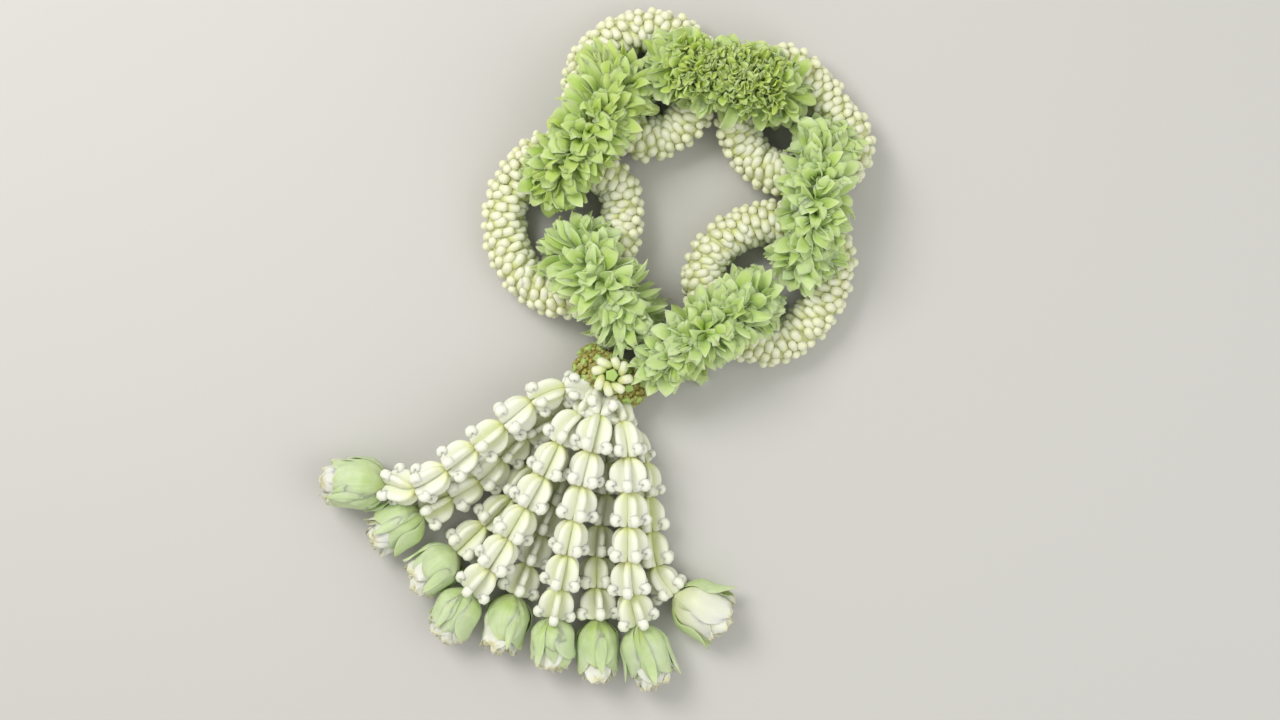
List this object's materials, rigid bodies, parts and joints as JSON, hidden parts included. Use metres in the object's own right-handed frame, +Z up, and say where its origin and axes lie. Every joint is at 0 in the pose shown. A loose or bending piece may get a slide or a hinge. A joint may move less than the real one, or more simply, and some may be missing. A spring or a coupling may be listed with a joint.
{
  "type": "fresh flower garland",
  "caption": "Chain garland of white bud rings linked by green petal rings in an open wreath, with a tied tassel of flower strands that end in half-open blooms, laid flat.",
  "frame": {"origin": "on the resting surface, below the middle of the garland's bounding box", "axes": "+Z up from the table, +Y along the garland's length from the tassel to the wreath, +X across it to the right with the blooms towards the viewer"},
  "size_m": [0.2685, 0.33, 0.0515],
  "materials": {
    "white_buds": "fresh creamy white flower buds, soft waxy sheen",
    "green_petals": "fresh light green petals with paler edges, soft waxy sheen",
    "olive_buds": "small olive-yellow buds, matte",
    "thread": "undyed cotton thread",
    "coronas": "waxy white flower crowns with green grooves",
    "tepals": "pale green flower petals, soft waxy sheen"
  },
  "bodies": {
    "root": {"bud_ring_1": "white_buds", "bud_ring_2": "white_buds", "bud_ring_3": "white_buds", "bud_ring_4": "white_buds", "petal_ring_1": "green_petals", "petal_ring_2": "green_petals", "petal_ring_3": "green_petals", "petal_ring_4": "green_petals", "petal_ring_5": "green_petals", "tie_band": "olive_buds", "binding_threads": "thread", "rosette_buds": "white_buds", "rosette_centre": "green_petals", "strand_1": "coronas", "bloom_1_tepals": "tepals", "bloom_1_heart": "white_buds", "strand_2": "coronas", "bloom_2_tepals": "tepals", "bloom_2_heart": "white_buds", "strand_3": "coronas", "bloom_3_tepals": "tepals", "bloom_3_heart": "white_buds", "strand_4": "coronas", "bloom_4_tepals": "tepals", "bloom_4_heart": "white_buds", "strand_5": "coronas", "bloom_5_tepals": "tepals", "bloom_5_heart": "white_buds", "strand_6": "coronas", "bloom_6_tepals": "tepals", "bloom_6_heart": "white_buds", "strand_7": "coronas", "bloom_7_tepals": "tepals", "bloom_7_heart": "white_buds", "strand_8": "coronas", "bloom_8_tepals": "tepals", "bloom_8_heart": "white_buds", "strand_9": "coronas", "bloom_9_tepals": "tepals", "bloom_9_heart": "white_buds"}
  },
  "joints": []
}
